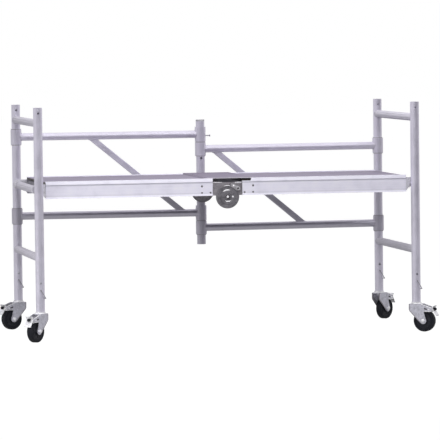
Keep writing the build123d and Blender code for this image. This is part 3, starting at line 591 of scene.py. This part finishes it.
# Heights and brightness, painted light: on the side rails, painted shade in the dull grooves beside the
# bright lips and on the webs between them; on the gate, painted shade at its foot, under the deck
RAIL_PAINTED_LIGHT = (
    (0.6425, 1.0), (0.6445, 0.72), (0.6465, 0.72), (0.649, 0.845),
    (0.690, 0.845), (0.692, 0.6), (0.694, 0.6), (0.697, 1.0),
)
GATE_PAINTED_SHADE = ((0.58, 0.78), (0.70, 1.0))
FINISHES = {
    "tube_alloy": alloy("tube_alloy", ALLOY, "z"),
    # Gate rails and braces: painted shade low down, under the deck
    "tube_alloy_long": alloy("tube_alloy_long", ALLOY, "x", bands=GATE_PAINTED_SHADE),
    # Gate sleeves and centre post: the posts' alloy a little darker all over, with the same painted shade
    # low down
    "gate_alloy": alloy("gate_alloy", shade(ALLOY, 0.94), "z", bands=GATE_PAINTED_SHADE),
    "rung_alloy": alloy("rung_alloy", (0.63, 0.61, 0.685), "y", metallic=0.45, roughness=0.55, specular=0.2),
    "rail_alloy": alloy("rail_alloy", (0.9, 0.882, 1.0), "x", metallic=0.3, roughness=0.5, bands=RAIL_PAINTED_LIGHT),
    "cast_alloy": plated("cast_alloy", (0.62, 0.61, 0.66), roughness=0.5, metallic=0.5, cell=400.0),
    "flap_sheet": alloy("flap_sheet", FLAP, "y", metallic=0.2, roughness=0.6, bare=FLAP_EDGE),
    "film_plywood": film_plywood("film_plywood", FILM),
    "zinc_steel": plated("zinc_steel", (0.56, 0.555, 0.62), roughness=0.42, metallic=0.7),
    # Bright zinc of the pedals, race covers and axle caps; the hinge plates' turned edges and the faces
    # below them, and the edges of the caster arms, use it as painted highlight
    "bright_zinc": plated("bright_zinc", (0.84, 0.835, 0.87), roughness=0.3, metallic=0.5),
    "zinc_wire": plated("zinc_wire", (0.4, 0.39, 0.43), cell=500.0),
    # Steel of the hinge plates; the fork's rolled edges use it as painted shade, darker than the fork
    "hinge_steel": plated("hinge_steel", (0.34, 0.32, 0.345), roughness=0.45, metallic=0.7),
    "rivet_steel": plated("rivet_steel", (0.2, 0.19, 0.205), roughness=0.45),
    # Near-black steel of the washers and lever caps; the discs behind the posts' holes and the faces on the
    # caster arms use it as painted shade
    "dark_steel": plated("dark_steel", (0.055, 0.05, 0.06), roughness=0.5, metallic=0.3),
    "disc_steel": plated("disc_steel", (0.29, 0.28, 0.3), roughness=0.4),
    "lever_steel": plated("lever_steel", (0.5, 0.485, 0.51), roughness=0.34, metallic=0.7),
    # Pale steel of the rivets and lever springs, also the painted highlights on the lock discs
    "pale_steel_and_painted_highlight": plated("pale_steel_and_painted_highlight", (0.88, 0.87, 0.9), roughness=0.3, metallic=0.25, cell=600.0),
    # Deck beams: the alloy made dark and dull, painted shade that keeps the gap under the flap black
    "beam_painted_shade": alloy("beam_painted_shade", (0.36, 0.35, 0.39), "y", metallic=0.2, roughness=0.6),
    "bush_nylon": moulded("bush_nylon", (0.3, 0.29, 0.32)),
    "cap_plastic": moulded("cap_plastic", (0.33, 0.325, 0.35)),
    "hub_nylon": moulded("hub_nylon", (0.012, 0.0125, 0.017), roughness=0.42, dust=0.15, specular=0.25),
    "tyre_rubber": moulded("tyre_rubber", (0.008, 0.0085, 0.012), dust=0.06, specular=0.2),
    "weld_alloy": alloy("weld_alloy", (0.6, 0.58, 0.65), "z", metallic=0.7, roughness=0.34, contrast=0.25),
}
# Nodes, by the ends of their names, whose finish isn't named like their slot
OWN_FINISHES = {
    "gate_rails": "tube_alloy_long",
    "diagonal": "tube_alloy_long",
    "lock_lever": "lever_steel",
    "pedal": "bright_zinc",
    "deck_beams": "beam_painted_shade",
    "gate_sleeves": "gate_alloy",
    "centre_post": "gate_alloy",
}

for subpart in frame["record"]["subparts"]:
    cad = nodes[subpart["node"]]
    finish = subpart["material_slot"]
    for ending, other in OWN_FINISHES.items():
        if subpart["node"].endswith(ending):
            finish = other
    cad.data.materials.clear()
    cad.data.materials.append(FINISHES[finish])


# Frames and gate


def saddle(place, away, branch_r, main_r):
    """Curve where a branch tube leaves an upright tube."""
    across = away.cross(UP)
    points = []
    for i in range(BEAD_POINTS):
        turn = 2 * pi * i / BEAD_POINTS
        side = branch_r * cos(turn)
        reach = sqrt(main_r**2 - side**2)
        points.append(place + away * reach + across * side + UP * branch_r * sin(turn))
    return points


def bead(form, points):
    """Rippled weld bead along a closed curve."""
    ripples = [1 + sum(share * sin(step * i) for share, step in BEAD_RIPPLES) for i in range(len(points))]
    form.tube(points, [BEAD_R * ripple for ripple in ripples], sides=7, closed=True)


def brace_end(side, start, along, height, other):
    """Curve where a flat brace meets the rail at a height, coming from the other rail."""
    upper = height > other
    run = (along * BRACE_RUN - UP * abs(height - other)).normalized()
    offset = BRACE_START[side] + (0.0 if upper else BRACE_RUN)
    axis = Vector((start.x, start.y, height)) + along * offset
    normal = along.cross(UP)
    across = run.cross(normal)
    points = []
    for w, t in rounded_box(BRACE_W, BRACE_THICK, BRACE_ROUND):
        level = sqrt(RAIL_R**2 - t**2) * (-1 if upper else 1)
        reach = (level - across.z * w) / run.z
        points.append(axis + normal * t + across * w + run * reach)
    return points


def rung_heights(side):
    """Axis heights of a frame's three rungs."""
    low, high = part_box(f"{side}_rungs")
    middle = (low.z + high.z) / 2
    reach = (high.z - low.z) / 2 - RUNG_R
    return (middle - reach, middle, middle + reach)


def gate_heights(side):
    """Axis heights of a leaf's two rails."""
    low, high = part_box(f"{side}_gate_rails")
    return (low.z + RAIL_R, high.z - RAIL_R)


def frame_welds(side):
    """Beads round both ends of a frame's rungs."""
    welds = Form()
    for depth, sign in FACES.items():
        post = node_middle(f"{side}_{depth}_post")
        for height in rung_heights(side):
            place = Vector((post.x, post.y, height))
            bead(welds, saddle(place, Vector((0, -sign, 0)), RUNG_R, POST_R))
    welds.piece(f"{side}_frame_welds", f"{side}_frame", FINISHES["weld_alloy"], crease=60)


def hole_shades(side):
    """Dark discs in the posts, behind the cross holes at their tops: painted shade that makes the holes look
    dark.
    """
    shade_discs = Form()
    shade_outline = ((0, 0), (HOLE_SHADE_R, 0), (HOLE_SHADE_R, HOLE_SHADE_THICK), (0, HOLE_SHADE_THICK))
    for depth in FACES:
        post = node_middle(f"{side}_{depth}_post")
        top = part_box(f"{side}_{depth}_post")[1].z
        shade_discs.lathe(shade_outline, Vector((post.x, post.y + HOLE_SHADE_Y, top - TOP_HOLE_DROP)), Y_WAY, steps=20)
    shade_discs.piece(f"{side}_hole_shades", f"{side}_frame", FINISHES["dark_steel"])


def gate_welds(side):
    """Beads round both ends of a leaf's rails and of its brace."""
    start, end = LEAF_ENDS[side]
    along = Vector((end.x - start.x, end.y - start.y, 0)).normalized()
    lower, upper = gate_heights(side)
    welds = Form()
    for height in (lower, upper):
        for place, away in ((start, along), (end, -along)):
            bead(welds, saddle(Vector((place.x, place.y, height)), away, RAIL_R, SLEEVE_R))
    for height, other in ((lower, upper), (upper, lower)):
        bead(welds, brace_end(side, start, along, height, other))
    welds.piece(f"{side}_gate_welds", f"{side}_gate", FINISHES["weld_alloy"], crease=60)


LEAF_ENDS = {
    "left": (joint_place("left_gate_swing"), joint_place("gate_fold")),
    "right": (joint_place("gate_fold"), joint_place("right_frame_swing")),
}

for side in SIDES:
    frame_welds(side)
    hole_shades(side)
    gate_welds(side)


# Deck


def hinge_rivets(side, sign):
    """Rivets in the webs of a deck half's side rails, at the hinge."""
    rivets = Form()
    for depth, face in FACES.items():
        rail = f"{side}_{depth}_side_rail"
        low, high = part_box(rail)
        web = outer_y(rail, face) - face * WEB_SETBACK
        end = high.x if sign < 0 else low.x
        for along, up in HINGE_RIVETS:
            rivet(rivets, Vector((end + sign * along, web, low.z + up)), Vector((0, face, 0)))
    rivets.piece(f"{side}_hinge_rivets", f"{side}_deck", FINISHES["rivet_steel"])


def plate_lips(side):
    """Turned upper edges of a deck half's hinge plates, and the bright face below the right ones, both in
    bright zinc as painted highlight.
    """
    lips = Form()
    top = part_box(f"{side}_hinge_plates")[1].z
    start, end = PLATE_EDGES[side]
    foot, head = HIGHLIGHT_HEIGHTS
    highlight_bar = ((start, foot), (end, foot), (end, head), (start, head))
    for face in FACES.values():
        y = PLATE_FACES[side] * face + node_middle("cover_flap").y
        lips.tube([Vector((x, y, top)) for x in (start, end)], PLATE_EDGE_R, sides=10)
        if side == "right":
            place = axes(Vector((0, y + face * HIGHLIGHT_OUT + HIGHLIGHT_THICK / 2, top)), X_WAY, UP)
            lips.prism(highlight_bar, place, HIGHLIGHT_THICK)
    # Painted highlight: bright zinc, lighter than the plates' own steel
    lips.piece(f"{side}_plate_lips", f"{side}_deck", FINISHES["bright_zinc"])


def flap_pieces():
    """Rivets along the cover flap, and its sloping edge."""
    low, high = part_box("cover_flap")
    rivets = Form()
    for i in range(FLAP_RIVETS):
        y = low.y + (high.y - low.y) * (i + 0.5) / FLAP_RIVETS
        rivet(rivets, Vector((low.x + FLAP_RIVET_IN, y, high.z)), UP, FLAP_RIVET)
    rivets.piece("flap_rivets", "left_deck", FINISHES["flap_sheet"])
    lip = Form()
    place = axes(Vector((low.x, high.y - RAIL_LIP, low.z)), X_WAY, UP)
    lip.prism(FLAP_LIP, place, high.y - low.y - 2 * RAIL_LIP)
    lip.piece("flap_lip", "left_deck", FINISHES["flap_sheet"])


def painted_disc_highlights(form, plate, out):
    """Painted highlights: a bright arc along a disc's rim, and bright patches on its pressed ring."""
    rim = [plate + out * RIM_LIFT + Vector((x, 0, z)) for x, z in arc((0, 0), *RIM_ARC, RIM_POINTS)]
    steps = RIM_POINTS - 1 + 2 * RIM_BLUNT
    form.tube(rim, [RIM_CREST_R * sin(pi * (i + RIM_BLUNT) / steps) for i in range(RIM_POINTS)])
    # The patches grow towards the front, so those of the rear disc start at their outer faces
    lift = RING_RISE + PATCH_RISE - (PATCH_THICK if out.y < 0 else 0)
    for patch in HIGHLIGHT_PATCHES:
        form.prism(crescent(*patch), axes(plate + out * lift, X_WAY, UP), PATCH_THICK)


def disc_pieces():
    """Pressed rings, painted highlights, rivets and washers of both lock discs."""
    pivot = joint_place("deck_fold")
    rings = Form()
    crests = Form()
    heads = Form()
    washers = Form()
    for face in FACES.values():
        out = Vector((0, face, 0))
        front = Vector((pivot.x, outer_y("hinge_discs", face), pivot.z))
        plate = front - out * HINGE_HEAD
        rivet(heads, front, out, PIVOT_RIVET)
        rivet(heads, plate + out * RING_RISE + X_WAY * DISC_RIVET_X, out, SMALL_RIVET)
        washers.lathe(WASHER, front, out, steps=40, closed=True)
        rings.lathe(PRESSED_RING, plate, out, steps=72, closed=True)
        painted_disc_highlights(crests, plate, out)
    rings.piece("disc_rings", "left_deck", FINISHES["disc_steel"])
    # Painted highlights, where the discs' rim and pressed ring catch the light
    crests.piece("disc_highlights", "left_deck", FINISHES["pale_steel_and_painted_highlight"])
    heads.piece("disc_rivets", "left_deck", FINISHES["pale_steel_and_painted_highlight"])
    washers.piece("disc_washers", "left_deck", FINISHES["dark_steel"])


def lever_pieces(depth, face):
    """Coil spring and tooth rivet of a lock lever, and the cap on its pin."""
    out = Vector((0, face, 0))
    axis = joint_place(f"{depth}_lock_turn")
    hub = Vector((axis.x, outer_y(f"{depth}_lock_lever", face), axis.z))
    coil = []
    for i in range(COIL_POINTS):
        turn = Vector((cos(COIL_STEP * i), 0, sin(COIL_STEP * i)))
        coil.append(hub + out * (COIL_START + COIL_RISE * i) + turn * COIL_R)
    leg = [coil[-1] + LEVER_TIP * share for share in (0.5, 1.0)]
    spring = Form()
    spring.tube(coil + leg, COIL_WIRE_R, sides=6)
    rivet(spring, hub + LEVER_TIP, out, SMALL_RIVET)
    spring.piece(f"{depth}_lever_spring", f"{depth}_lock_lever", FINISHES["pale_steel_and_painted_highlight"])
    cap = Form()
    rivet(cap, Vector((axis.x, outer_y("right_hinge_plates", face), axis.z)), out, LEVER_CAP)
    cap.piece(f"{depth}_lever_cap", "right_deck", FINISHES["dark_steel"])


for side, sign in SIDES.items():
    hinge_rivets(side, sign)
for side in SIDES:
    plate_lips(side)
flap_pieces()
disc_pieces()
for depth, face in FACES.items():
    lever_pieces(depth, face)


# Casters and bails


def tyre_piece(corner, place):
    """Tyre with round shoulders, a groove in each side wall and a mould line round its tread."""
    half = WHEEL_W / 2
    side = [(TYRE_INNER_R + out, half - sink) for out, sink in TYRE_WALL]
    side += arc((WHEEL_R - TYRE_SHOULDER, half - TYRE_SHOULDER), TYRE_SHOULDER, 90, 0, 6)
    side += [(WHEEL_R, MOULD_LINE[0]), (WHEEL_R - MOULD_LINE_DEPTH, MOULD_LINE[1])]
    profile = side + [(r, -h) for r, h in reversed(side)]
    tyre = Form()
    tyre.lathe(profile, place.to_translation(), place.to_3x3() @ UP, steps=72, closed=True)
    rubber = FINISHES["tyre_rubber"]
    made = tyre.piece(f"{corner}_tyre_form", f"{corner}_wheel", rubber, crease=40)
    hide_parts(f"{corner}_tyre")


def hub_piece(corner, place):
    """Rings and ribs on both faces of a wheel's hub."""
    middle = place.to_translation()
    axle = place.to_3x3() @ UP
    start, end = RIB_SPAN
    rib = ((start, -RIB_HALF), (end, -RIB_HALF), (end, RIB_HALF), (start, RIB_HALF))
    ribs = Form()
    for face in FACES.values():
        for inner, outer in HUB_RINGS:
            crown = [(inner + HUB_RING_SLOPE, HUB_RING_RISE), (outer - HUB_RING_SLOPE, HUB_RING_RISE)]
            ring = [(inner, 0)] + crown + [(outer, 0)]
            ribs.lathe(ring, middle + axle * face * HUB_HALF, axle * face, steps=48, closed=True)
        flip = Matrix.Rotation(0 if face > 0 else pi, 4, "X")
        for i in range(HUB_RIBS):
            turn = Matrix.Rotation(2 * pi * i / HUB_RIBS, 4, "Z") @ flip
            ribs.prism(rib, place @ turn @ Matrix.Translation((0, 0, HUB_HALF)), RIB_RISE)
    ribs.piece(f"{corner}_hub_ribs", f"{corner}_wheel", FINISHES["hub_nylon"])


def fork_pieces(corner, base):
    """Rolled edges of the fork's plates, darker than the fork as painted shade, bright edges of its arms as
    painted highlight, and dark faces on the arms as painted shade.
    """
    trail_way = base.to_3x3() @ X_WAY
    edges = Form()
    arm_glints = Form()
    shade_plates = Form()
    plate = FORK_OUTER - FORK_PLATE / 2
    for across in (plate, -plate):
        edges.tube([base @ Vector((x, across, z)) for x, z in FORK_EDGE], FORK_EDGE_R, sides=10)
        for line in ARM_HIGHLIGHTS:
            arm_glints.tube([base @ Vector((x, across, z)) for x, z in line], ARM_HIGHLIGHT_R, sides=8)
    shade_face = FORK_OUTER + ARM_SHADE_RISE
    for across in (shade_face, ARM_SHADE_THICK - shade_face):
        shade_plates.prism(ARM_SHADE, axes(base @ Vector((0, across, 0)), trail_way, UP), ARM_SHADE_THICK)
    # Painted shade on the rolled edges
    edges.piece(f"{corner}_fork_edges", f"{corner}_caster", FINISHES["hinge_steel"])
    # Painted highlight along the arms
    arm_glints.piece(f"{corner}_arm_highlights", f"{corner}_caster", FINISHES["bright_zinc"])
    # Painted shade on the arms
    shade_plates.piece(f"{corner}_arm_shadows", f"{corner}_caster", FINISHES["dark_steel"])


def race_piece(corner, base):
    """Cover of the swivel race, and the axle's domed ends."""
    inner = RACE_R + COVER_GAP
    outer = RACE_R + COVER_W
    top = RACE_TOP - COVER_DROP
    ring = [(inner, FORK_TOP), (outer, FORK_TOP), (outer, FORK_TOP + COVER_RIM)]
    ring += [(RACE_R + COVER_TOP_W, top), (inner, top)]
    cover = Form()
    cover.lathe(ring, base.to_translation(), UP, steps=48, closed=True)
    trail = (joint_place(f"{corner}_roll") - joint_place(f"{corner}_swivel")).to_2d().length
    side = base.to_3x3() @ Y_WAY
    for sign in (1, -1):
        rivet(cover, base @ Vector((trail, sign * AXLE_END, WHEEL_R)), side * sign, AXLE_CAP)
    cover.piece(f"{corner}_race_cover", f"{corner}_caster", FINISHES["bright_zinc"])


def pedal_pieces(corner, base):
    """Dark grip roller behind the pedal's tab, and grip ridges on its toe."""
    half = [(0.0, GRIP_HALF), (GRIP_R - GRIP_BEVEL, GRIP_HALF), (GRIP_R, GRIP_HALF - GRIP_BEVEL)]
    profile = [(r, -h) for r, h in half] + list(reversed(half))
    grip = Form()
    grip.lathe(profile, base @ Vector((PEDAL_GRIP[0], 0, PEDAL_GRIP[1])), base.to_3x3() @ Y_WAY, steps=24)
    grip.piece(f"{corner}_pedal_grip", f"{corner}_pedal", FINISHES["tyre_rubber"])
    ridges = Form()
    for x, z in PEDAL_RIDGES:
        ridges.tube([base @ Vector((x, y, z)) for y in (-RIDGE_HALF, RIDGE_HALF)], RIDGE_R, sides=8)
    ridges.piece(f"{corner}_pedal_ridges", f"{corner}_pedal", FINISHES["bright_zinc"])


def bail_piece(corner):
    """Round wire bail with bent corners, in one piece with its pin."""
    pin = joint_place(f"{corner}_bail_lift")
    place = axes(pin, Y_WAY, BAIL_HANG)
    bow = BAIL_HANG.length - BAIL_BEND
    outline = [(-BAIL_HALF, 0.0)] + arc((BAIL_BEND - BAIL_HALF, bow), BAIL_BEND, 180, 90, 6)
    outline += arc((BAIL_HALF - BAIL_BEND, bow), BAIL_BEND, 90, 0, 6) + [(BAIL_HALF, 0.0)]
    bail = Form()
    bail.tube([place @ Vector((x, y, 0)) for x, y in outline], BAIL_WIRE_R, sides=10)
    reach = BAIL_HALF + BAIL_PIN_OVER
    ends = [(0.0, -reach - PIN_CROWN), (BAIL_PIN_R - PIN_CROWN, -reach - PIN_BEVEL)]
    ends += [(BAIL_PIN_R, -reach + PIN_BEVEL)]
    bail.lathe(ends + [(r, -h) for r, h in reversed(ends)], pin, Y_WAY, steps=20)
    made = bail.piece(f"{corner}_bail_wire", f"{corner}_bail", FINISHES["zinc_wire"])
    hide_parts(f"{corner}_bail")


for corner in CORNERS:
    swivel = joint_place(f"{corner}_swivel")
    hub = joint_place(f"{corner}_roll")
    trail_way = Vector((hub.x - swivel.x, hub.y - swivel.y, 0)).normalized()
    wheel_base = axes(hub, trail_way, -UP)
    caster_base = axes((swivel.x, swivel.y, 0), trail_way, UP.cross(trail_way))
    tyre_piece(corner, wheel_base)
    hub_piece(corner, wheel_base)
    fork_pieces(corner, caster_base)
    race_piece(corner, caster_base)
    pedal_pieces(corner, caster_base)
    bail_piece(corner)


# Stage, light and camera


def ray_kinds(tree):
    """One for rays from the camera, and one for rays that metal or glass sends on."""
    rays = add(tree, "ShaderNodeLightPath").outputs
    return rays["Is Camera Ray"], maths(tree, "MAXIMUM", rays["Is Glossy Ray"], rays["Is Transmission Ray"])


def floor_material():
    """White to the camera, dimmer in reflections towards the front, and still holding the shadow."""
    material = bpy.data.materials.new("floor")
    material.use_nodes = True
    tree = material.node_tree
    tree.nodes.clear()
    direct, mirrored = ray_kinds(tree)
    depth = component(tree, coordinates(tree, "Object"), "Y")
    lit = maths(tree, "MULTIPLY", maths(tree, "SUBTRACT", depth, FLOOR_DIM_Y), FLOOR_FADE)
    dimmest, brightest = FLOOR_MIRRORED
    share = ramp(tree, lit, (0.0, grey(dimmest)), (1.0, grey(brightest)))
    seen = maths(tree, "MAXIMUM", direct, maths(tree, "MULTIPLY", mirrored, share))
    strength = maths(tree, "MULTIPLY", seen, FLOOR_GLOW)
    glow = add(tree, "ShaderNodeEmission", {"Color": WHITE, "Strength": strength})
    matt = add(tree, "ShaderNodeBsdfDiffuse", {"Color": FLOOR_TONE})
    both = add(tree, "ShaderNodeAddShader", {0: glow.outputs[0], 1: matt.outputs[0]})
    add(tree, "ShaderNodeOutputMaterial", {"Surface": both.outputs[0]})
    return material


def stage():
    """Plain pale floor."""
    mesh = bpy.data.meshes.new("floor")
    corners = [(x * FLOOR_REACH, y * FLOOR_REACH, 0) for x, y in ((-1, -1), (1, -1), (1, 1), (-1, 1))]
    mesh.from_pydata(corners, [], [(0, 1, 2, 3)])
    mesh.materials.append(floor_material())
    floor = put("floor", mesh)


def background(tree, colour, strength):
    """Shader of the world with one colour."""
    return add(tree, "ShaderNodeBackground", {"Color": colour, "Strength": strength}).outputs[0]


def world():
    """White background. Metal also sees the low unlit side of the room, and the ambient light is soft."""
    made = bpy.data.worlds.new("studio")
    bpy.context.scene.world = made
    made.use_nodes = True
    tree = made.node_tree
    tree.nodes.clear()
    way = {0: coordinates(tree, "Generated"), 1: DARK_FLATTEN}
    flattened = add(tree, "ShaderNodeVectorMath", way, operation="MULTIPLY").outputs[0]
    level = add(tree, "ShaderNodeVectorMath", {0: flattened}, operation="NORMALIZE").outputs[0]
    front = add(tree, "ShaderNodeVectorMath", {0: level, 1: DARK_WAY}, operation="DOT_PRODUCT")
    light_end, dark_start = DARK_EDGE
    room = ramp(tree, front.outputs["Value"], (light_end, ROOM_LIT), (dark_start, ROOM_DARK))
    direct, mirrored = ray_kinds(tree)
    ambient = background(tree, WHITE, ROOM_AMBIENT)
    around = background(tree, room, 1.0)
    white = background(tree, WHITE, 1.0)
    unseen = add(tree, "ShaderNodeMixShader", {0: mirrored, 1: ambient, 2: around}).outputs[0]
    whole = add(tree, "ShaderNodeMixShader", {0: direct, 1: unseen, 2: white}).outputs[0]
    add(tree, "ShaderNodeOutputWorld", {"Surface": whole})


def lamp(name, place, target, size, power, mirrored):
    """Soft rectangular lamp that points at a target, seen in metal or not. Power is in watts."""
    light = bpy.data.lights.new(name, "AREA")
    light.shape = "RECTANGLE"
    light.size, light.size_y = size
    light.energy = power
    made = put(name, light)
    made.location = place
    made.visible_glossy = mirrored
    made.rotation_euler = (Vector(target) - Vector(place)).to_track_quat("-Z", "Y").to_euler()


def camera():
    """Camera at the photograph's viewing angle."""
    level = cos(CAMERA_PITCH)
    forward = Vector((sin(CAMERA_YAW) * level, cos(CAMERA_YAW) * level, sin(CAMERA_PITCH)))
    right = Vector((cos(CAMERA_YAW), -sin(CAMERA_YAW), 0))
    above = right.cross(forward)
    x = cos(CAMERA_ROLL) * right + sin(CAMERA_ROLL) * above
    y = cos(CAMERA_ROLL) * above - sin(CAMERA_ROLL) * right
    lens = bpy.data.cameras.new("camera")
    lens.sensor_width = CAMERA_SENSOR
    lens.lens = CAMERA_LENS
    lens.clip_end = CAMERA_FAR
    made = put("camera", lens)
    made.matrix_world = axes(CAMERA_PLACE, x, y)
    bpy.context.scene.camera = made


stage()
world()
lamp("key", place=(-0.4, -3.4, 1.7), target=(0, 0, 0.6), size=(1.2, 1.0), power=75.0, mirrored=False)
lamp("side", place=(-2.0, -0.9, 0.32), target=(0.7, 0, 0.3), size=(0.6, 0.5), power=9.0, mirrored=False)
lamp("top", place=(0, -0.5, 3.3), target=(0, 0, 0.6), size=(3.0, 1.6), power=56.0, mirrored=False)
lamp("strip", place=(0, -3.0, 2.9), target=(0, 0.37, 0.9), size=(5.0, 0.35), power=12.0, mirrored=True)
camera()
bpy.context.scene.view_settings.view_transform = "Standard"
